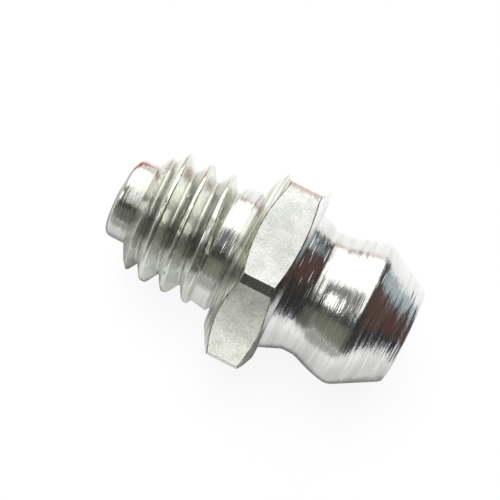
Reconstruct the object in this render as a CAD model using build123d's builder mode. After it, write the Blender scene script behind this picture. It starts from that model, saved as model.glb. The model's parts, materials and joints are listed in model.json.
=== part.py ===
from build123d import *
import os
from math import radians, sin, sqrt, tan

# Straight grease nipple with a ball head for a push-on coupler and an M6 x 1 thread.
# One turned steel body holds a check ball and a coil spring behind the mouth.
# The nipple lies on one flat of its hexagon, with its axis along X and the head towards +X.
# The origin is on the ground under the middle of its length. All sizes are in millimetres.

# Hexagon
hex_sides = 6
hex_across_flats = 8.0
hex_thickness = 2.42
hex_bar_diameter = 9.0
seat_face_diameter = 6.7
seat_bevel_angle = 30.0
seat_bore_diameter = 5.9
top_face_diameter = 7.3
top_bevel_angle = 22.0

# Head
head_length = 5.27
head_diameter = 6.5
head_shoulder_length = 3.25
nose_diameter = 4.2
nose_bevel = 0.12
neck_diameter = 5.5
neck_foot_diameter = 6.3
neck_taper_length = 0.95
neck_land_length = 0.35
flare_length = 0.55
flare_rise = 0.11

# Thread and shank
pitch = 1.0
crest_diameter = 5.76
thread_depth = 0.57
root_flat = 0.1
flank_angle = 30.0
thread_length = 3.8
lead_length = 0.85
lead_step_length = 0.3
lead_step_diameter = 4.8
groove_overtravel = 0.22
runout_turn = 120.0
runout_overtravel = 0.25
thread_end_slope = 0.11
shank_length = 0.74
shank_diameter = 5.32
shank_end_diameter = 5.56
undercut_width = 0.24
undercut_slope = 0.06
undercut_diameter = 5.24
undercut_root = 0.1

# Crimped tip
tip_length = 0.8
tip_diameter = 3.6
tip_round = 0.38
lip_thickness = 0.4
lip_hole_diameter = 1.7

# Mouth, ball and spring
mouth_diameter = 1.9
mouth_depth = 0.6
mouth_chamfer = 0.12
chamber_diameter = 2.6
seat_half_angle = 30.0
ball_diameter = 2.3
seat_clearance = 0.02
wire_diameter = 0.26
wire_sides = 6
spring_side_clearance = 0.12
spring_end_clearance = 0.02
spring_coils = 5

# Allowance by which every cutter stands past the surface it cuts
cut_past = 0.1

# Stations along the axis, from the crimped tip to the nose
overall_length = tip_length + thread_length + shank_length + undercut_width + hex_thickness + head_length
tip_x = -overall_length / 2
thread_x = tip_x + tip_length
shank_x = thread_x + thread_length
undercut_x = shank_x + shank_length
hex_x = undercut_x + undercut_width
head_x = hex_x + hex_thickness
nose_x = head_x + head_length
neck_x = head_x + neck_taper_length
flare_x = neck_x + neck_land_length
shoulder_x = head_x + head_shoulder_length

# Radii that several pieces share
axis_height = hex_across_flats / 2
crest_radius = crest_diameter / 2
corner_radius = hex_bar_diameter / 2
mouth_radius = mouth_diameter / 2
chamber_radius = chamber_diameter / 2
ball_radius = ball_diameter / 2

# The ball sits against a conical seat at the inner end of the mouth
seat_angle = radians(seat_half_angle)
seat_edge_x = nose_x - mouth_depth
seat_base_x = seat_edge_x - (chamber_radius - mouth_radius) / tan(seat_angle)
cone_apex_x = seat_edge_x + mouth_radius / tan(seat_angle)
ball_x = cone_apex_x - (ball_radius + seat_clearance) / sin(seat_angle)

# The spring stands between the crimped lip and the back of the ball
lip_x = tip_x + lip_thickness
coil_radius = chamber_radius - spring_side_clearance - wire_diameter / 2
coil_inner_radius = coil_radius - wire_diameter / 2
ball_back = sqrt(ball_radius**2 - coil_inner_radius**2)
spring_start_x = lip_x + spring_end_clearance
spring_end_x = ball_x - ball_back - spring_end_clearance
spring_length = spring_end_x - spring_start_x

nipple_axis = Axis((0, 0, axis_height), (1, 0, 0))
half_section = Plane.XY.offset(axis_height)


def groove_profile(path, place, top_radius, depth):
    """A thread groove's section at a place on its helix, square to the helix."""
    point = path @ place
    outward = Vector(0, point.Y, point.Z - axis_height).normalized()
    section = Plane(origin=point, x_dir=outward, z_dir=path % place)
    bottom = top_radius - depth - crest_radius
    half_foot = root_flat / 2
    half_top = half_foot + (depth + cut_past) * tan(radians(flank_angle))
    with BuildSketch(section) as profile:
        with BuildLine():
            Polyline(
                (bottom, -half_foot),
                (bottom, half_foot),
                (bottom + depth + cut_past, half_top),
                (bottom + depth + cut_past, -half_top),
                close=True,
            )
        make_face()
    return profile.sketch


# Helix that the tool follows at full depth, and the part of a turn in which it draws out
groove_x = thread_x - groove_overtravel
runout_length = pitch * runout_turn / 360
full_depth_length = groove_overtravel + thread_length + runout_overtravel - runout_length
full_turn_angle = 360 * full_depth_length / pitch
with BuildLine() as full_path:
    Helix(pitch, full_depth_length, crest_radius, center=(groove_x, 0, axis_height), direction=(1, 0, 0))
runout_x = groove_x + full_depth_length
with BuildLine() as runout_path:
    runout_helix = Helix(
        pitch,
        runout_length,
        crest_radius,
        center=(runout_x, 0, axis_height),
        direction=(1, 0, 0),
        mode=Mode.PRIVATE,
    )
    add(runout_helix.rotate(nipple_axis, full_turn_angle))

# One-piece body: hexagon, turned blank, thread and the stepped bore through it
with BuildPart() as nipple_body:
    with BuildSketch(Plane.YZ.offset(hex_x)) as hex_outline:
        with Locations((0, axis_height)):
            RegularPolygon(hex_across_flats / 2, hex_sides, major_radius=False)
    extrude(amount=hex_thickness)

    # The hexagon bar is turned round and bevelled at both faces
    seat_bevel = (hex_bar_diameter - seat_face_diameter) / 2 * tan(radians(seat_bevel_angle))
    top_bevel = (hex_bar_diameter - top_face_diameter) / 2 * tan(radians(top_bevel_angle))
    with BuildSketch(half_section) as bevel_profile:
        with BuildLine():
            Polyline(
                (hex_x, 0),
                (hex_x, seat_face_diameter / 2),
                (hex_x + seat_bevel, corner_radius),
                (head_x - top_bevel, corner_radius),
                (head_x, top_face_diameter / 2),
                (head_x, 0),
                close=True,
            )
        make_face()
    revolve(axis=nipple_axis, mode=Mode.INTERSECT)

    # Turned blank, from the tip through the shank and neck to the nose
    with BuildSketch(half_section) as blank_profile:
        with BuildLine():
            Polyline(
                (flare_x, neck_diameter / 2),
                (neck_x, neck_diameter / 2),
                (head_x, neck_foot_diameter / 2),
                (hex_x, neck_foot_diameter / 2),
                (hex_x, seat_bore_diameter / 2),
                (hex_x - undercut_root, undercut_diameter / 2),
                (undercut_x + undercut_slope, undercut_diameter / 2),
                (undercut_x, shank_end_diameter / 2),
                (shank_x, shank_diameter / 2),
                (shank_x - thread_end_slope, crest_radius),
                (thread_x + lead_length, crest_radius),
                (thread_x + lead_step_length, lead_step_diameter / 2),
                (thread_x, tip_diameter / 2),
                (tip_x, tip_diameter / 2),
                (tip_x, 0),
                (nose_x, 0),
                (nose_x, nose_diameter / 2),
                (shoulder_x, head_diameter / 2),
            )
            flare = TangentArc(
                (flare_x, neck_diameter / 2),
                (flare_x + flare_length, neck_diameter / 2 + flare_rise),
                tangent=(1, 0),
            )
            TangentArc(flare @ 1, (shoulder_x, head_diameter / 2), tangent=flare % 1)
        make_face()
        tip_corner = blank_profile.vertices().group_by(Axis.X)[0].sort_by(Axis.Y)[-1]
        fillet(tip_corner, tip_round)
        nose_corner = blank_profile.vertices().group_by(Axis.X)[-1].sort_by(Axis.Y)[-1]
        chamfer(nose_corner, nose_bevel)
    revolve(axis=nipple_axis)

    # Right-hand thread groove at full depth, then drawn out to nothing
    sweep(
        groove_profile(full_path.line, 0, crest_radius, thread_depth),
        path=full_path.line,
        is_frenet=True,
        mode=Mode.SUBTRACT,
    )
    sweep(
        [
            groove_profile(runout_path.line, 0, crest_radius, thread_depth),
            groove_profile(runout_path.line, 1, crest_radius + thread_depth, thread_depth),
        ],
        path=runout_path.line,
        multisection=True,
        is_frenet=True,
        mode=Mode.SUBTRACT,
    )

    # Bore through the lip, the spring chamber, the ball's conical seat and the mouth
    with BuildSketch(half_section) as bore_profile:
        with BuildLine():
            Polyline(
                (tip_x - cut_past, 0),
                (tip_x - cut_past, lip_hole_diameter / 2),
                (lip_x, lip_hole_diameter / 2),
                (lip_x, chamber_radius),
                (seat_base_x, chamber_radius),
                (seat_edge_x, mouth_radius),
                (nose_x - mouth_chamfer, mouth_radius),
                (nose_x + cut_past, mouth_radius + mouth_chamfer + cut_past),
                (nose_x + cut_past, 0),
                close=True,
            )
        make_face()
    revolve(axis=nipple_axis, mode=Mode.SUBTRACT)
nipple_body.part.label = "nipple_body"

# Check ball, pressed against its seat behind the mouth
with BuildPart() as check_ball:
    with Locations((ball_x, 0, axis_height)):
        Sphere(ball_radius)
check_ball.part.label = "check_ball"

# Coil spring with both ends ground flat, its wire drawn as a hexagon
with BuildLine() as coil_path:
    Helix(
        spring_length / spring_coils,
        spring_length,
        coil_radius,
        center=(spring_start_x, 0, axis_height),
        direction=(1, 0, 0),
    )
with BuildPart() as return_spring:
    wire_section = Plane(origin=coil_path.line @ 0, z_dir=coil_path.line % 0)
    with BuildSketch(wire_section) as wire_outline:
        RegularPolygon(wire_diameter / 2, wire_sides)
    sweep(path=coil_path.line, is_frenet=True)
    with BuildSketch(Plane.YZ.offset(spring_start_x)) as ground_envelope:
        with Locations((0, axis_height)):
            Circle(chamber_radius)
    extrude(amount=spring_length, mode=Mode.INTERSECT)
return_spring.part.label = "return_spring"

os.makedirs("parts", exist_ok=True)
export_step(nipple_body.part, "parts/nipple_body.step")
export_step(check_ball.part, "parts/check_ball.step")
export_step(return_spring.part, "parts/return_spring.step")
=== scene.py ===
import json
from math import acos, asin, ceil, cos, degrees, exp, log, pi, radians, sin, sqrt, tan

import bpy
from mathutils import Matrix, Vector, noise


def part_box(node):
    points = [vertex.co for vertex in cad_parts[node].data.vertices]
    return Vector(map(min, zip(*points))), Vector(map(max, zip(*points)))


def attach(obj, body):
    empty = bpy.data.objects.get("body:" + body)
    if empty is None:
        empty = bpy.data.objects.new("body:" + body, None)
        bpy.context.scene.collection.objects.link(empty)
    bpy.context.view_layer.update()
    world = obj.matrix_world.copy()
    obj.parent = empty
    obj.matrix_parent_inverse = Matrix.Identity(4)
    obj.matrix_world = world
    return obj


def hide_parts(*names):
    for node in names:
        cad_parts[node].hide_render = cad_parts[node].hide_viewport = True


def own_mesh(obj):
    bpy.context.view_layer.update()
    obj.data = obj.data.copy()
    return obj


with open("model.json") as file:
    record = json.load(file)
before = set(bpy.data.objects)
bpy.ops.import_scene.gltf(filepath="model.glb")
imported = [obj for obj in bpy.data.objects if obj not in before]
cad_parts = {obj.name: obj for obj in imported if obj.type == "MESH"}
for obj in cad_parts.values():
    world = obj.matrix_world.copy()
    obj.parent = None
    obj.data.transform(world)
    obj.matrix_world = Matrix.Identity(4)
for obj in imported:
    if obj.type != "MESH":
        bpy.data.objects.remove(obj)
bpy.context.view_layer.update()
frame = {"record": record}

# Grease nipple on a white floor, among cards and under a soft box, seen from above.
# Sizes are in millimetres and angles in degrees, apart from what is handed to Blender.
MM = 0.001

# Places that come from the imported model
body_low, body_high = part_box("nipple_body")
mounts = {mount["name"]: mount for mount in frame["record"]["mounts"]}
tip_x = body_low.x / MM
nose_x = body_high.x / MM
axis_z = (body_low.z + body_high.z) / 2 / MM
flat_distance = (body_high.z - body_low.z) / 2 / MM
corner_radius = (body_high.y - body_low.y) / 2 / MM
thread_x = mounts["thread"]["pos_m"][0] / MM
thread_length = mounts["thread"]["dims"]["length_mm"]
crest_radius = mounts["thread"]["dims"]["r_mm"]
hex_x = mounts["seat"]["pos_m"][0] / MM
shoulder_x = mounts["coupler_head"]["pos_m"][0] / MM
head_radius = mounts["coupler_head"]["dims"]["r_mm"]
head_x = 2 * mounts["spanner_hexagon"]["pos_m"][0] / MM - hex_x

# Hexagon and its bevels
seat_bore_radius = 2.95
seat_face_radius = 3.35
seat_bevel_angle = 30.0
top_face_radius = 3.65
top_bevel_angle = 22.0

# Neck, flare and nose
neck_foot_radius = 3.15
neck_radius = 2.75
neck_taper_length = 0.95
neck_land_length = 0.35
neck_x = head_x + neck_taper_length
flare_x = neck_x + neck_land_length
flare_length = 0.42
flare_rise = 0.084
neck_round = 0.08
nose_radius = 2.1
nose_bevel = 0.12
shoulder_round = 0.3

# Thread and shank; the lead starts askew, furthest from the tip at lead_slant_angle round the axis
pitch = 1.0
thread_depth = 0.57
root_flat = 0.1
flank_angle = 30.0
lead_length = 0.85
lead_step_length = 0.3
lead_step_radius = 2.4
lead_slant = 0.13
lead_slant_angle = 120.0
groove_overtravel = 0.22
groove_start_angle = 90.0
runout_turn = 120.0
runout_overtravel = 0.25
thread_end_slope = 0.11
shank_x = thread_x + thread_length
shank_radius = 2.66
shank_end_radius = 2.78
undercut_width = 0.24
undercut_x = hex_x - undercut_width
undercut_slope = 0.06
undercut_radius = 2.62
undercut_root = 0.1

# Rolled-in tip, bore and mouth
tip_radius = 1.8
tip_round = 0.38
lip_hole_radius = 0.85
lip_thickness = 0.4
lip_x = tip_x + lip_thickness
chamber_radius = 1.3
mouth_radius = 0.95
mouth_depth = 0.6
mouth_chamfer = 0.12
seat_half_angle = 30.0
seat_edge_x = nose_x - mouth_depth
seat_base_x = seat_edge_x - (chamber_radius - mouth_radius) / tan(radians(seat_half_angle))

# Worn and rounded edges, and nicks in the crests: how deep, how rare, how far in, and how close
# they stand along the axis and across it
edge_wear = 0.035
crest_rounding = 0.034
root_rounding = 0.12
nick_depth = 0.06
nick_share = 0.2
nick_reach = 0.15
nick_density = (2.5, 13.0)

# Spring
wire_radius = 0.13
closed_turns = 1.0
open_turns = 5.5
closed_pitch_in_wires = 1.05

# Fineness of the meshes
thread_row = 0.016
sector_columns = 24
guard_angle = 0.5
angle_slack = 0.01
round_steps = 6
neck_steps = 3
nose_steps = 2
most_of_an_edge = 0.45
sharp_angle = 25.0
wire_sides = 12
wire_steps = 36
wire_sharp_angle = 40.0
ball_rings = 40
ball_sides = 64


def tangent_arc(start, direction, end, steps):
    """Points after start up to end of the arc that leaves start along direction, and its last direction."""
    start, direction, end = Vector(start), Vector(direction).normalized(), Vector(end)
    chord = end - start
    side = 1 if direction.x * chord.y - direction.y * chord.x > 0 else -1
    normal = Vector((-direction.y, direction.x)) * side
    half_turn = asin(chord.normalized().dot(normal))
    radius = chord.length / (2 * sin(half_turn))
    turns = [2 * half_turn * step / steps for step in range(1, steps + 1)]
    points = [start + radius * (sin(turn) * direction + (1 - cos(turn)) * normal) for turn in turns]
    last = cos(turns[-1]) * direction + sin(turns[-1]) * normal
    return points, last


def soften(outline):
    """The outline's points, with each corner that has a size rounded in its own number of steps."""
    points = []
    for index, (x, r, size, steps) in enumerate(outline):
        here = Vector((x, r))
        if size == 0 or index in (0, len(outline) - 1):
            points.append(here)
            continue
        before = Vector(outline[index - 1][:2]) - here
        after = Vector(outline[index + 1][:2]) - here
        start = here + before.normalized() * min(size, most_of_an_edge * before.length)
        end = here + after.normalized() * min(size, most_of_an_edge * after.length)
        for step in range(steps + 1):
            share = step / steps
            points.append(start * (1 - share) ** 2 + here * 2 * share * (1 - share) + end * share**2)
    return points


def corner(x, r, size=edge_wear, steps=1):
    """A corner of an outline: its place, how far its edge is worn away, and in how many steps."""
    return (x, r, size, steps)


# Turn from one flat to the next, half the angle that one flat takes up, and the rows of the hexagon's
# outline that are its side, its seat's bevel and its edges
flat_turn = 60.0
flat_half = degrees(acos(flat_distance / corner_radius))
side_row = 4
seat_rows = (0, 1, 2, 3)
edge_rows = (1, 3, 5, 7)


def hex_reach(angle):
    """Distance from the axis to the hexagon's side at an angle, cut round at its corners."""
    from_flat = angle % flat_turn - flat_turn / 2
    return min(flat_distance / cos(radians(from_flat)), corner_radius)


def tip_outline():
    """The lip's outer face and the rolled-in rim, up to the first thread."""
    return soften([
        corner(tip_x, lip_hole_radius, 0),
        corner(tip_x, tip_radius, tip_round, round_steps),
        corner(thread_x, tip_radius, 0),
    ])[:-1]


def shank_outline():
    """The plain shank, the undercut and the seat face's inner edge."""
    return soften([
        corner(shank_x, shank_radius, 0),
        corner(undercut_x, shank_end_radius),
        corner(undercut_x + undercut_slope, undercut_radius),
        corner(hex_x - undercut_root, undercut_radius),
        corner(hex_x, seat_bore_radius, 0),
    ])[:-1]


def hex_outline(angle):
    """The hexagon between its two faces, at one angle round the axis."""
    reach = hex_reach(angle)
    seat_bevel = (reach - seat_face_radius) * tan(radians(seat_bevel_angle))
    top_bevel = (reach - top_face_radius) * tan(radians(top_bevel_angle))
    return soften([
        corner(hex_x, seat_bore_radius, 0),
        corner(hex_x, seat_face_radius),
        corner(hex_x + seat_bevel, reach),
        corner(head_x - top_bevel, reach),
        corner(head_x, top_face_radius),
        corner(head_x, neck_foot_radius, 0),
    ])[:-1]


def head_outline():
    """Neck taper, flare, shoulder and cone, up to the mouth."""
    flare_end = (flare_x + flare_length, neck_radius + flare_rise)
    flare, direction = tangent_arc((flare_x, neck_radius), (1, 0), flare_end, round_steps)
    rise, _ = tangent_arc(flare_end, direction, (shoulder_x, head_radius), round_steps)
    return soften([
        corner(head_x, neck_foot_radius, 0),
        corner(neck_x, neck_radius, neck_round, neck_steps),
        corner(flare_x, neck_radius, 0),
        *[corner(*point, 0) for point in flare],
        *[corner(*point, 0) for point in rise[:-2]],
        corner(shoulder_x, head_radius, shoulder_round, round_steps),
        corner(nose_x, nose_radius, nose_bevel, nose_steps),
        corner(nose_x, mouth_radius + mouth_chamfer, 0),
    ])[:-1]


def bore_outline():
    """The mouth, the ball's conical seat, the spring chamber and the lip's hole."""
    return soften([
        corner(nose_x, mouth_radius + mouth_chamfer, 0),
        corner(nose_x - mouth_chamfer, mouth_radius),
        corner(seat_edge_x, mouth_radius),
        corner(seat_base_x, chamber_radius),
        corner(lip_x, chamber_radius),
        corner(lip_x, lip_hole_radius),
        corner(tip_x, lip_hole_radius, 0),
    ])[:-1]


def groove_lines(angle):
    """For each groove that crosses this angle: its centre on the axis and its root's radius."""
    runout = pitch * runout_turn / 360
    full_depth = groove_overtravel + thread_length + runout_overtravel - runout
    first = pitch * ((angle - groove_start_angle) % 360) / 360
    grooves = []
    while first <= full_depth + runout:
        drawn_out = max(0, first - full_depth) / runout
        grooves.append((thread_x - groove_overtravel + first, crest_radius - thread_depth * (1 - drawn_out)))
        first += pitch
    return grooves


def lead_radius(x, angle):
    """The blank's turned-down end: a steep step up from the tip, then a long bevel, cut a little askew."""
    slant = lead_slant * (1 + cos(radians(angle - lead_slant_angle)))
    step_x = thread_x + slant
    if x < step_x:
        return tip_radius
    if x < step_x + lead_step_length:
        return tip_radius + (x - step_x) * (lead_step_radius - tip_radius) / lead_step_length
    bevel_x = step_x + lead_step_length
    bevel = (crest_radius - lead_step_radius) / (thread_x + lead_length - bevel_x)
    return lead_step_radius + (x - bevel_x) * bevel


def thread_radius(x, angle, grooves):
    """Radius of the thread at a place, with its crests' edges and its roots rounded."""
    flank = 1 / tan(radians(flank_angle))
    end_slope = (crest_radius - shank_radius) / thread_end_slope
    tops = [
        crest_radius,
        lead_radius(x, angle),
        crest_radius - (x - shank_x + thread_end_slope) * end_slope,
    ]
    for centre, root in grooves:
        rise = sqrt((x - centre) ** 2 * flank**2 + root_rounding**2) - root_rounding
        tops.append(root + max(0, rise - root_flat / 2 * flank + root_rounding / 2))
    lowest = min(tops)
    return lowest - crest_rounding * log(sum(exp((lowest - top) / crest_rounding) for top in tops))


def thread_outline(angle):
    """The thread from the tip to the shank, row by row, at one angle round the axis."""
    grooves = groove_lines(angle)
    count = ceil(thread_length / thread_row)
    stations = [thread_x + thread_length * row / count for row in range(count)]
    return [Vector((x, thread_radius(x, angle, grooves))) for x in stations]


def column_angles():
    """Angles round the axis, closer together where the hexagon's flats meet its corners."""
    corner_half = flat_turn / 2 - flat_half
    across = [flat_half * (2 * step / sector_columns - 1) for step in range(sector_columns + 1)]
    guards = [flat_half - guard_angle, guard_angle - flat_half]
    land = [flat_half + corner_half / 2, -flat_half - corner_half / 2, -flat_turn / 2]
    sector = sorted(across + guards + land)
    return [flat_turn * flat + flat_turn / 2 + offset for flat in range(6) for offset in sector]


def wear(x, r, angle):
    """How far the surface at this point is worn in: small nicks along the thread's crests."""
    if r < crest_radius - nick_reach or not thread_x < x < shank_x:
        return 0
    along, across = nick_density
    place = Vector((x * along, cos(radians(angle)) * across, sin(radians(angle)) * across))
    return max(0, noise.noise(place) - nick_share) * nick_depth


# Places of the skin's materials in its list
turned_slot, thread_slot, flat_slot, edge_slot, seat_slot = 0, 1, 2, 3, 4


def body_skin():
    """The whole turned body as one closed mesh: columns round the axis, rows along its section."""
    angles = column_angles()
    vertices, faces, slots = [], [], []
    for angle in angles:
        runs = [
            tip_outline(),
            thread_outline(angle),
            shank_outline(),
            hex_outline(angle),
            head_outline(),
            bore_outline(),
        ]
        for x, r in (point for run in runs for point in run):
            r -= wear(x, r, angle)
            vertices.append((x * MM, r * cos(radians(angle)) * MM, (axis_z + r * sin(radians(angle))) * MM))
    finishes = [turned_slot, thread_slot, turned_slot, turned_slot, turned_slot, turned_slot]
    row_slots = [slot for run, slot in zip(runs, finishes) for _ in run]
    hexagon_start = len(runs[0]) + len(runs[1]) + len(runs[2])
    side = hexagon_start + side_row
    for row in seat_rows:
        row_slots[hexagon_start + row] = seat_slot
    for row in edge_rows:
        row_slots[hexagon_start + row] = edge_slot
    rows = len(row_slots)
    for column, angle in enumerate(angles):
        here, there = column * rows, (column + 1) % len(angles) * rows
        from_flat = angle % flat_turn - flat_turn / 2
        on_flat = -flat_half - angle_slack < from_flat < flat_half - angle_slack
        for row in range(rows):
            after = (row + 1) % rows
            faces.append((here + row, there + row, there + after))
            faces.append((here + row, there + after, here + after))
            slots += [flat_slot if on_flat and row == side else row_slots[row]] * 2
    mesh = bpy.data.meshes.new("nipple_skin")
    mesh.from_pydata(vertices, [], faces)
    for polygon, slot in zip(mesh.polygons, slots):
        polygon.material_index = slot
    mesh.shade_smooth()
    mesh.set_sharp_from_angle(angle=radians(sharp_angle))
    return mesh


def add_piece(name, mesh, materials):
    """A new object that shows the mesh with its materials."""
    piece = bpy.data.objects.new(name, mesh)
    bpy.context.scene.collection.objects.link(piece)
    for material in materials:
        mesh.materials.append(material)
    return piece


def tube(name, centreline, radius, sides):
    """A closed round tube along a list of points."""
    vertices, faces = [], []
    for index, point in enumerate(centreline):
        ahead = centreline[min(index + 1, len(centreline) - 1)]
        behind = centreline[max(index - 1, 0)]
        forward = (ahead - behind).normalized()
        outward = Vector((0, point.y, point.z - axis_z * MM)).normalized()
        across = forward.cross(outward).normalized()
        outward = across.cross(forward)
        for side in range(sides):
            turn = 2 * pi * side / sides
            vertices.append(point + radius * (cos(turn) * outward + sin(turn) * across))
    for ring in range(len(centreline) - 1):
        for side in range(sides):
            after = (side + 1) % sides
            first, second = ring * sides, (ring + 1) * sides
            faces.append((first + side, first + after, second + after, second + side))
    faces.append(tuple(range(sides))[::-1])
    faces.append(tuple(range(len(vertices) - sides, len(vertices))))
    mesh = bpy.data.meshes.new(name)
    mesh.from_pydata(vertices, [], faces)
    mesh.shade_smooth()
    mesh.set_sharp_from_angle(angle=radians(wire_sharp_angle))
    return mesh


def spring_mesh():
    """The coil spring inside its CAD box, with closed end coils."""
    low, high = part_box("return_spring")
    radius = wire_radius * MM
    coil_radius = (high.z - low.z) / 2 - radius
    start, length = low.x + radius, high.x - low.x - 2 * radius
    turns = 2 * closed_turns + open_turns
    end_pitch = closed_pitch_in_wires * 2 * radius
    points = []
    for step in range(ceil(turns * wire_steps) + 1):
        turn = step / wire_steps
        first = min(turn, closed_turns) * end_pitch
        last = max(0, turn - closed_turns - open_turns) * end_pitch
        middle = min(max(turn - closed_turns, 0), open_turns) / open_turns
        x = start + first + last + middle * (length - 2 * closed_turns * end_pitch)
        angle = 2 * pi * turn
        points.append(Vector((x, coil_radius * cos(angle), axis_z * MM + coil_radius * sin(angle))))
    return tube("coil_spring", points, radius, wire_sides)


def ball_mesh():
    """The check ball, as smooth as a bearing ball."""
    low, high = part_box("check_ball")
    centre, radius = (low + high) / 2, (high.x - low.x) / 2
    rings, sides = ball_rings, ball_sides
    vertices = [centre + Vector((-radius, 0, 0))]
    for ring in range(1, rings):
        polar = pi * ring / rings
        for side in range(sides):
            turn = 2 * pi * side / sides
            spoke = Vector((0, cos(turn), sin(turn))) * sin(polar)
            vertices.append(centre + radius * (spoke - Vector((cos(polar), 0, 0))))
    vertices.append(centre + Vector((radius, 0, 0)))
    faces = []
    for side in range(sides):
        after = (side + 1) % sides
        faces.append((0, 1 + side, 1 + after))
        last = len(vertices) - 1 - sides
        faces.append((len(vertices) - 1, last + after, last + side))
        for ring in range(rings - 2):
            first, second = 1 + ring * sides, 1 + (ring + 1) * sides
            faces.append((first + side, second + side, second + after, first + after))
    mesh = bpy.data.meshes.new("ball_skin")
    mesh.from_pydata(vertices, [], faces)
    mesh.shade_smooth()
    return mesh


class Nodes:
    """A short way to write one material's or world's node tree."""

    def __init__(self, owner):
        owner.use_nodes = True
        self.tree = owner.node_tree
        self.tree.nodes.clear()

    def add(self, kind, inputs=None, **settings):
        node = self.tree.nodes.new(kind)
        for name, value in settings.items():
            setattr(node, name, value)
        for name, value in (inputs or {}).items():
            if isinstance(value, bpy.types.NodeSocket):
                self.tree.links.new(value, node.inputs[name])
            else:
                node.inputs[name].default_value = value
        return node

    def math(self, operation, *values):
        return self.add("ShaderNodeMath", dict(enumerate(values)), operation=operation).outputs[0]

    def vector(self, operation, *values):
        return self.add("ShaderNodeVectorMath", dict(enumerate(values)), operation=operation).outputs[0]

    def scale(self, vector, factor):
        return self.add("ShaderNodeVectorMath", {0: vector, "Scale": factor}, operation="SCALE").outputs[0]

    def spread(self, value, low, high, to_low=0.0, to_high=1.0, smooth=True):
        """value carried from low..high to to_low..to_high, and held beyond them."""
        inputs = {"Value": value, "From Min": low, "From Max": high, "To Min": to_low, "To Max": to_high}
        kind = "SMOOTHSTEP" if smooth else "LINEAR"
        return self.add("ShaderNodeMapRange", inputs, interpolation_type=kind, clamp=True).outputs[0]

    def band(self, value, low, high, soft):
        """1 where value is between low and high, and 0 outside, with soft edges."""
        rise = self.spread(value, low - soft, low + soft)
        fall = self.spread(value, high - soft, high + soft, 1.0, 0.0)
        return self.math("MULTIPLY", rise, fall)

    def mix(self, share, first, second):
        node = self.add("ShaderNodeMix", data_type="RGBA")
        for socket, value in zip((0, 6, 7), (share, first, second)):
            if isinstance(value, bpy.types.NodeSocket):
                self.tree.links.new(value, node.inputs[socket])
            else:
                node.inputs[socket].default_value = value
        return node.outputs[2]

    def noise(self, place, scale, detail=2.0, roughness=0.5):
        inputs = {"Vector": place, "Scale": scale, "Detail": detail, "Roughness": roughness}
        return self.add("ShaderNodeTexNoise", inputs)

    def over(self, distance, reach, values=(0.0, 1.0), smooth=True):
        """A distance in metres carried from its reach in millimetres to two values, and held beyond."""
        return self.spread(distance, reach[0] * MM, reach[1] * MM, *values, smooth)

    def band_over(self, distance, reach, soft):
        """1 where a distance in metres is inside its reach in millimetres, and 0 outside."""
        return self.band(distance, reach[0] * MM, reach[1] * MM, soft * MM)

    def finish(self, kind, shader):
        output = self.add(kind)
        self.tree.links.new(shader, output.inputs["Surface"])


def axis_parts(nodes):
    """Distance along the axis, the two distances across it and the radius, all in metres."""
    place = nodes.add("ShaderNodeTexCoord").outputs["Object"]
    from_axis = nodes.vector("SUBTRACT", place, (0, 0, axis_z * MM))
    parts = nodes.add("ShaderNodeSeparateXYZ", {"Vector": from_axis})
    x, y, z = parts.outputs[0], parts.outputs[1], parts.outputs[2]
    squares = nodes.math("ADD", nodes.math("MULTIPLY", y, y), nodes.math("MULTIPLY", z, z))
    return x, y, z, nodes.math("SQRT", squares)


# Turning marks: how many of each kind a millimetre holds along the axis and across it, and how far the
# radius adds to the way along, so that a cone or a face has rings too
ring_density = (15.0, 0.5)
stain_density = (5.0, 0.25)
grain_density = (26.0, 7.0)
score_density = (32.0, 0.6)
ring_slant = 0.7

# How far the marks lean the surface: single deep scores towards the thread, and the fine grain all ways.
# A score deepens as its noise goes through the range, and the nose has more of them.
score_tilt = 0.42
score_range = (0.6, 0.76)
nose_reach = (5.6, 6.5)
nose_scores = 0.16
grain_tilt = (0.16, 0.16, 0.16)
middle_of_noise = (0.5, 0.5, 0.5)

# The parts of a noise that stains and roughness follow, and the painted shade that darkens a thread's root
# and the narrow bore, over part of the radius
stain_range = (0.35, 0.65)
rough_range = (0.3, 0.7)
painted_root_shade = 0.82
painted_root_shade_depth = 0.25

# Turned surfaces: clean plate, stained plate, how far the rings shake the reflections, the range of
# roughness, and the radius below which painted shade darkens the colour
turned_finishes = {
    "turned_zinc": (
        (0.80, 0.80, 0.79, 1), (0.68, 0.68, 0.66, 1), (0.5, 0.1, 0.1), (0.14, 0.28), chamber_radius
    ),
    "thread_zinc": (
        (0.80, 0.82, 0.77, 1), (0.70, 0.72, 0.65, 1), (0.3, 0.15, 0.15), (0.2, 0.34), 2.5
    ),
    "seat_zinc": (
        (0.94, 0.95, 0.86, 1), (0.46, 0.48, 0.38, 1), (0.7, 0.15, 0.15), (0.14, 0.3), chamber_radius
    ),
}

# Drawn flats: pits and clouds of the matt plate in a millimetre, their tones, and how far they shake it
pit_density = 11.0
cloud_density = 1.3
mottle_range = (0.36, 0.6)
clouded_tone = (0.54, 0.56, 0.54, 1)
clear_tone = (0.74, 0.745, 0.745, 1)
pit_shade = 0.74
flat_roughness = (0.26, 0.36)
matt_shake = (0.2, 0.2, 0.2)

# Painted light and shade on the flats, by height above the axis: lighter towards the floor, and on the upper
# flat lighter away from its middle. The lower flats are a little yellow, and the far side is painted bright.
painted_light_reach = (0.3, 3.3)
painted_light_shades = (1.7, 0.7)
upper_flat_reach = (3.7, 3.9)
off_middle_reach = (0.4, 2.2)
off_middle_shades = (0.3, 0.5)
lower_flat_tint = (1.0, 0.99, 0.9)
brightest_plate = (0.98, 0.98, 0.93)
far_side_reach = (2.35, 2.6)
painted_far_side_light = (0.95, 0.95, 0.95, 1)
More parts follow.
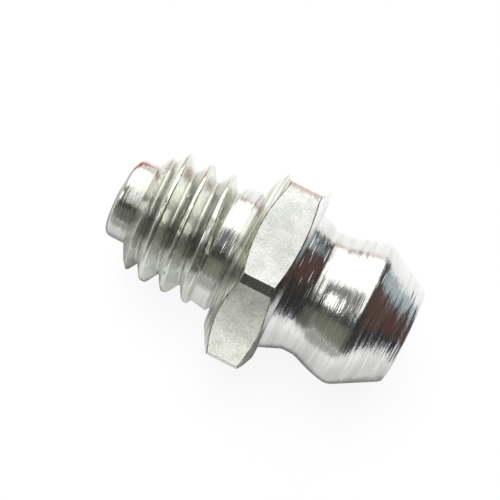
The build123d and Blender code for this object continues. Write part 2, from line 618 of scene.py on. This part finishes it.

# The hexagon's edges, painted dark as painted shade in random patches and painted light on the far side:
# patches in a millimetre, the part of the noise they follow, and their tones
patch_density = 3.0
patch_range = (0.4, 0.6)
darkest_painted_edge = (0.12, 0.12, 0.10, 1)
lighter_painted_edge = (0.42, 0.42, 0.38, 1)
far_edge_reach = (2.2, 2.8)
painted_far_edge_light = (0.8, 0.8, 0.79, 1)
edge_roughness = 0.4

# Polished steel: its tone and range of roughness, and its lapping marks
polished_finishes = {
    "ball_steel": ((0.68, 0.68, 0.70), (0.05, 0.1)),
    "wire_steel": ((0.5, 0.5, 0.52), (0.2, 0.35)),
}
lap_density = 6.0
lap_shade = 0.9
lap_shake = (0.03, 0.03, 0.03)


def turned_place(nodes, density):
    """Coordinates that change fast from ring to ring of the tool's marks and slowly round the axis."""
    x, y, z, from_axis = axis_parts(nodes)
    ring = nodes.math("ADD", x, nodes.math("MULTIPLY", from_axis, ring_slant))
    rings, rounds = density
    pairs = ((ring, rings), (y, rounds), (z, rounds))
    scaled = [nodes.math("MULTIPLY", part, scale / MM) for part, scale in pairs]
    return nodes.add("ShaderNodeCombineXYZ", dict(enumerate(scaled))).outputs[0]


def shaken_by(nodes, noise_colour, amount):
    """A noise's colour as a vector about zero, stretched by an amount."""
    centred = nodes.vector("SUBTRACT", noise_colour, middle_of_noise)
    return nodes.vector("MULTIPLY", centred, amount)


def tilted_normal(nodes, noise_colour, amount):
    """The surface's normal, shaken by a noise's colour."""
    normal = nodes.add("ShaderNodeNewGeometry").outputs["Normal"]
    return nodes.vector("NORMALIZE", nodes.vector("ADD", normal, shaken_by(nodes, noise_colour, amount)))


def metal(nodes, colour, roughness, normal):
    """A metal surface of this colour, roughness and normal."""
    inputs = {"Base Color": colour, "Metallic": 1.0, "Roughness": roughness, "Normal": normal}
    return nodes.add("ShaderNodeBsdfPrincipled", inputs).outputs[0]


def turned_zinc(name):
    """Bright zinc over turning marks: fine rings that break the reflections into streaks, and painted shade
    below a radius.
    """
    light, dark, shake, roughness, painted_shade_radius = turned_finishes[name]
    material = bpy.data.materials.new(name)
    nodes = Nodes(material)
    rings = nodes.noise(turned_place(nodes, ring_density), scale=1.0, detail=3.0, roughness=0.7)
    stains = nodes.noise(turned_place(nodes, stain_density), scale=1.0, detail=2.0, roughness=0.6)
    grain = nodes.noise(turned_place(nodes, grain_density), scale=1.0, detail=2.0, roughness=0.6)
    scores = nodes.noise(turned_place(nodes, score_density), scale=1.0, detail=1.0, roughness=0.5)
    along, _, _, from_axis = axis_parts(nodes)
    stain = nodes.spread(stains.outputs[0], *stain_range)
    # painted shade: the colour darkens below a radius, in a thread's roots and inside the narrow bore
    painted_hollow_shade = nodes.over(from_axis, (painted_shade_radius - painted_root_shade_depth, painted_shade_radius), (painted_root_shade, 1.0))
    colour = nodes.scale(nodes.mix(stain, dark, light), painted_hollow_shade)
    rough = nodes.spread(rings.outputs[0], *rough_range, *roughness)
    at_nose = nodes.over(along, nose_reach, (0.0, nose_scores))
    score = nodes.spread(nodes.math("ADD", scores.outputs[0], at_nose), *score_range, 0.0, -score_tilt)
    scored = nodes.add("ShaderNodeCombineXYZ", {0: score}).outputs[0]
    ringed = tilted_normal(nodes, rings.outputs[1], shake)
    grained = shaken_by(nodes, grain.outputs[1], grain_tilt)
    normal = nodes.vector("NORMALIZE", nodes.vector("ADD", nodes.vector("ADD", ringed, scored), grained))
    nodes.finish("ShaderNodeOutputMaterial", metal(nodes, colour, rough, normal))
    return material


def painted_light_on_flats(nodes, colour):
    """The flats' colour, with painted light and shade by where on the hexagon it is."""
    _, across, height, _ = axis_parts(nodes)
    # painted light and shade: lighter lower down, and on the upper flat lighter away from its middle
    painted_height_light = nodes.over(height, painted_light_reach, painted_light_shades, smooth=False)
    upper = nodes.over(height, upper_flat_reach)
    off_middle = nodes.over(nodes.math("ABSOLUTE", across), off_middle_reach, off_middle_shades, smooth=False)
    shade = nodes.math("ADD", painted_height_light, nodes.math("MULTIPLY", upper, off_middle))
    colour = nodes.scale(colour, shade)
    colour = nodes.mix(upper, nodes.vector("MULTIPLY", colour, lower_flat_tint), colour)
    colour = nodes.vector("MINIMUM", colour, brightest_plate)
    # painted light: the far side of the hexagon is bright
    return nodes.mix(nodes.over(across, far_side_reach), colour, painted_far_side_light)


def frosted_zinc(name):
    """Zinc over the hexagon bar's drawn flats: matt, finely mottled and slightly clouded, with painted light
    and shade by place.
    """
    material = bpy.data.materials.new(name)
    nodes = Nodes(material)
    place = nodes.add("ShaderNodeTexCoord").outputs["Object"]
    pits = nodes.noise(place, pit_density / MM, detail=4.0, roughness=0.75)
    clouds = nodes.noise(place, cloud_density / MM, detail=4.0, roughness=0.65)
    tone = nodes.mix(nodes.spread(clouds.outputs[0], *mottle_range), clouded_tone, clear_tone)
    mottled = nodes.mix(nodes.spread(pits.outputs[0], *mottle_range), nodes.scale(tone, pit_shade), tone)
    # painted light and shade over the flats, by where on the hexagon they are
    colour = painted_light_on_flats(nodes, mottled)
    roughness = nodes.spread(clouds.outputs[0], *rough_range, *flat_roughness)
    normal = tilted_normal(nodes, pits.outputs[1], matt_shake)
    nodes.finish("ShaderNodeOutputMaterial", metal(nodes, colour, roughness, normal))
    return material


def painted_dark_edge(name):
    """The hexagon's edges, painted dark in random patches as painted shade, and painted light on the far
    side.
    """
    material = bpy.data.materials.new(name)
    nodes = Nodes(material)
    place = nodes.add("ShaderNodeTexCoord").outputs["Object"]
    patches = nodes.noise(place, patch_density / MM, detail=3.0, roughness=0.6)
    # painted shade: dark patches along the hexagon's edges
    colour = nodes.mix(nodes.spread(patches.outputs[0], *patch_range), darkest_painted_edge, lighter_painted_edge)
    # painted light: on the far side the edges are bright
    across = axis_parts(nodes)[1]
    colour = nodes.mix(nodes.over(across, far_edge_reach), colour, painted_far_edge_light)
    normal = tilted_normal(nodes, patches.outputs[1], matt_shake)
    nodes.finish("ShaderNodeOutputMaterial", metal(nodes, colour, edge_roughness, normal))
    return material


def polished_steel(name):
    """Ground steel with faint lapping marks."""
    tone, roughness = polished_finishes[name]
    material = bpy.data.materials.new(name)
    nodes = Nodes(material)
    place = nodes.add("ShaderNodeTexCoord").outputs["Object"]
    marks = nodes.noise(place, lap_density / MM, detail=3.0, roughness=0.6)
    colour = nodes.mix(marks.outputs[0], [lap_shade * part for part in tone] + [1], [*tone, 1])
    rough = nodes.spread(marks.outputs[0], *rough_range, *roughness)
    normal = tilted_normal(nodes, marks.outputs[1], lap_shake)
    nodes.finish("ShaderNodeOutputMaterial", metal(nodes, colour, rough, normal))
    return material


# The lamp's place and size in metres, and its power
lamp_place = (-0.1, 0.05, 0.5)
lamp_size = 0.35
lamp_power = 2.2

# The floor's half width in metres, its paper, and the share of it that glows by itself, where it is
# seen and where metal mirrors it
floor_half = 2.0
paper_tone = (0.9, 0.9, 0.9, 1)
floor_glow = 0.9
floor_glow_in_metal = 0.75

# How bright the mirrored floor is by its distance across the axis, as painted light and painted shadow:
# dimmer towards the nipple in front, lighter again behind, and a painted shadow close by, except beside the
# hexagon
front_reach = (-22.0, -5.0)
front_tones = (1.05, 0.68)
back_reach = (-1.0, 5.0)
back_tone = 0.45
contact_reach = (-4.0, 2.4)
contact_softness = 0.9
contact_shade = 0.25
beside_hexagon_reach = (-3.2, 1.4)
beside_hexagon_softness = 0.4

# Painted reflections on the floor, seen only in the metal: a dark band in front of the thread's end, and an
# orange strip that runs aslant behind it
dark_reach = (-16.0, -11.0)
dark_end = (-4.8, -2.8)
dark_tone = (0.16, 0.155, 0.12, 1)
strip_reach = (10.0, 13.0)
strip_slant = 0.3
strip_end = (-4.5, -2.0)
strip_tone = (0.48, 0.13, 0.055, 1)


def add_lamp():
    """A broad lamp overhead that lights the floor; the metal shows the cards of the world instead."""
    data = bpy.data.lights.new("overhead", "AREA")
    data.size = lamp_size
    data.energy = lamp_power
    lamp = bpy.data.objects.new("overhead", data)
    lamp.location = lamp_place
    lamp.visible_glossy = False
    bpy.context.scene.collection.objects.link(lamp)


def floor_in_metal(nodes, along, across):
    """The floor's tone where metal mirrors it, with painted light, shadow and reflections, and how much of it
    is the orange strip.
    """
    # painted light: the mirrored floor dims towards the nipple in front and grows lighter behind
    in_front = nodes.over(across, front_reach, front_tones)
    behind = nodes.over(across, back_reach, (0.0, back_tone))
    beside_hexagon = nodes.band_over(along, beside_hexagon_reach, beside_hexagon_softness)
    # painted shadow: the mirrored floor is darker close to the nipple
    close_by = nodes.band_over(across, contact_reach, contact_softness)
    shaded = nodes.math("MULTIPLY", close_by, nodes.math("SUBTRACT", 1.0, beside_hexagon))
    under = nodes.spread(shaded, 0.0, 1.0, 1.0, contact_shade)
    brightness = nodes.math("MULTIPLY", nodes.math("ADD", in_front, behind), under)
    tone = nodes.scale((1, 1, 1), brightness)
    # painted reflections: a dark band and an orange strip on the mirrored floor
    dark_band = nodes.over(across, dark_reach, (1.0, 0.0))
    thread_end = nodes.over(along, dark_end, (1.0, 0.0))
    tone = nodes.mix(nodes.math("MULTIPLY", dark_band, thread_end), tone, dark_tone)
    aslant = nodes.math("ADD", along, nodes.math("MULTIPLY", across, strip_slant))
    left_part = nodes.over(aslant, strip_end, (1.0, 0.0))
    strip = nodes.math("MULTIPLY", nodes.over(across, strip_reach), left_part)
    return nodes.mix(strip, tone, strip_tone), strip


def white_paper(name):
    """Paper that takes shadows, and glows by itself for the camera and, with painted light, shadow and
    reflections, for rays that metal mirrors.
    """
    material = bpy.data.materials.new(name)
    nodes = Nodes(material)
    rays = nodes.add("ShaderNodeLightPath").outputs
    mirrored = nodes.math("MAXIMUM", rays["Is Glossy Ray"], rays["Is Transmission Ray"])
    seen = nodes.math("MULTIPLY", rays["Is Camera Ray"], floor_glow)
    place = nodes.add("ShaderNodeNewGeometry").outputs["Position"]
    along, across, _ = nodes.add("ShaderNodeSeparateXYZ", {"Vector": place}).outputs
    tone, strip = floor_in_metal(nodes, along, across)
    tone = nodes.mix(mirrored, (1, 1, 1, 1), tone)
    in_metal_share = nodes.spread(strip, 0.0, 1.0, floor_glow_in_metal, 1.0)
    share = nodes.math("MAXIMUM", seen, nodes.math("MULTIPLY", mirrored, in_metal_share))
    paper = nodes.add("ShaderNodeBsdfDiffuse", {"Color": paper_tone}).outputs[0]
    glow = nodes.add("ShaderNodeEmission", {"Color": tone, "Strength": 1.0}).outputs[0]
    shader = nodes.add("ShaderNodeMixShader", {0: share, 1: paper, 2: glow}).outputs[0]
    nodes.finish("ShaderNodeOutputMaterial", shader)
    return material


def add_floor():
    """A white floor that shows white, also in the metal apart from its painted light, shadow and reflections,
    and keeps the nipple's shadow.
    """
    near, far = -floor_half, floor_half
    mesh = bpy.data.meshes.new("floor")
    mesh.from_pydata([(near, near, 0), (far, near, 0), (far, far, 0), (near, far, 0)], [], [(0, 1, 2, 3)])
    floor = add_piece("floor", mesh, [white_paper("white_paper")])


# What stands round the nipple, by direction. Tilt is the angle towards +X out of the YZ plane, and
# lean the angle from straight up towards -Y in that plane. Each card has its lowest and highest
# tilt, its lowest and highest lean, the softness of its edges and its colour.
studio_cards = {
    "grey card at the thread end": (-90, -54, -90, 90, 8, (0.5, 0.5, 0.48)),
    "dim card overhead": (-56, 6, -18, 22, 6, (0.15, 0.16, 0.16)),
    "dim card in front": (-56, 10, 46, 94, 6, (0.13, 0.125, 0.10)),
    "olive card in front": (-38, -14, 52, 94, 5, (0.24, 0.25, 0.19)),
    "soft box": (-52, 8, -84, -13, 3, (1.7, 1.7, 1.62)),
    "soft box's near end": (-11, 3, -20, 17, 4, (1.6, 1.6, 1.52)),
    "soft box's near corner": (-12.5, -6.5, -20, 31, 2, (1.6, 1.6, 1.52)),
    "small lamp": (-62, -37, 8, 32, 3, (2.6, 2.6, 2.4)),
    "blue-green card": (31, 80, -84, -52, 7, (0.44, 0.53, 0.57)),
    "brown card": (30, 82, -48, 12, 7, (0.105, 0.060, 0.047)),
    "brown card's lower part": (48, 82, 8, 40, 7, (0.112, 0.06, 0.047)),
    "orange strip": (-3.5, 8, -92, -80.5, 1.5, (0.46, 0.12, 0.05)),
    "orange strip at the thread end": (-14, -7, -92, -82, 1.5, (0.46, 0.12, 0.05)),
}
room_tone = (0.035, 0.036, 0.038, 1)
horizon_tone = (0.97, 1.0, 1.02, 1)
horizon_height = 2.5
horizon_softness = 2.0


def set_world():
    """A dim room with cards round the nipple, and a pale horizon."""
    world = bpy.data.worlds.new("studio")
    bpy.context.scene.world = world
    nodes = Nodes(world)
    direction = nodes.add("ShaderNodeTexCoord").outputs["Generated"]
    parts = nodes.add("ShaderNodeSeparateXYZ", {"Vector": direction}).outputs
    to_degrees = 180 / pi
    forwards = nodes.math("MULTIPLY", parts[1], -1.0)
    tilt = nodes.math("MULTIPLY", nodes.math("ARCSINE", parts[0]), to_degrees)
    lean = nodes.math("MULTIPLY", nodes.math("ARCTAN2", forwards, parts[2]), to_degrees)
    height = nodes.math("MULTIPLY", nodes.math("ARCSINE", parts[2]), to_degrees)
    colour = room_tone
    for low_tilt, high_tilt, low_lean, high_lean, soft, tone in studio_cards.values():
        across = nodes.band(tilt, low_tilt, high_tilt, soft)
        along = nodes.band(lean, low_lean, high_lean, soft)
        colour = nodes.mix(nodes.math("MULTIPLY", across, along), colour, (*tone, 1))
    sky = nodes.spread(height, horizon_height - horizon_softness, horizon_height + horizon_softness)
    colour = nodes.mix(sky, horizon_tone, colour)
    nodes.finish("ShaderNodeOutputWorld", nodes.add("ShaderNodeBackground", {"Color": colour}).outputs[0])


# Camera that the photograph was taken with, as fitted to it; its sensor's width is in millimetres too
camera_azimuth = 7.45
camera_elevation = 69.43
camera_roll = 19.8
camera_distance = 61.36
camera_aim_x = -0.575
camera_rise = 0.403
focal_pixels = 1452.0
frame_pixels = 500.0
sensor_width = 36.0
nearest_seen = 1.0


def add_camera():
    """The fitted camera, turned about its own line of sight by camera_roll."""
    azimuth, elevation, roll = (radians(a) for a in (camera_azimuth, camera_elevation, camera_roll))
    back = Vector((sin(azimuth) * cos(elevation), -cos(azimuth) * cos(elevation), sin(elevation)))
    level = Vector((0, 0, 1)).cross(back).normalized()
    upright = back.cross(level)
    right = cos(roll) * level + sin(roll) * upright
    up = cos(roll) * upright - sin(roll) * level
    aim = Vector((camera_aim_x, 0, axis_z))
    data = bpy.data.cameras.new("camera")
    data.sensor_width = sensor_width
    data.lens = sensor_width * focal_pixels / frame_pixels
    data.clip_start = nearest_seen * MM
    camera = bpy.data.objects.new("camera", data)
    bpy.context.scene.collection.objects.link(camera)
    turn = Matrix((right, up, back)).transposed().to_4x4()
    camera.matrix_world = Matrix.Translation((aim + back * camera_distance + up * camera_rise) * MM) @ turn
    bpy.context.scene.camera = camera


def build_pieces():
    """The body, the ball and the spring, each in the place of its solid."""
    finishes = [
        turned_zinc("turned_zinc"),
        turned_zinc("thread_zinc"),
        frosted_zinc("hexagon_zinc"),
        # the hexagon's edges, painted dark as painted shade
        painted_dark_edge("painted_dark_edge"),
        turned_zinc("seat_zinc"),
    ]
    skin = add_piece("nipple_skin", body_skin(), finishes)
    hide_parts("nipple_body")
    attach(skin, "nipple")

    ball = add_piece("ball_skin", ball_mesh(), [polished_steel("ball_steel")])
    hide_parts("check_ball")
    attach(ball, "ball")

    spring = add_piece("coil_spring", spring_mesh(), [polished_steel("wire_steel")])
    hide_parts("return_spring")
    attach(spring, "nipple")
    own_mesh(spring)


add_camera()
set_world()
add_lamp()
add_floor()
build_pieces()

bpy.context.scene.view_settings.view_transform = "Standard"
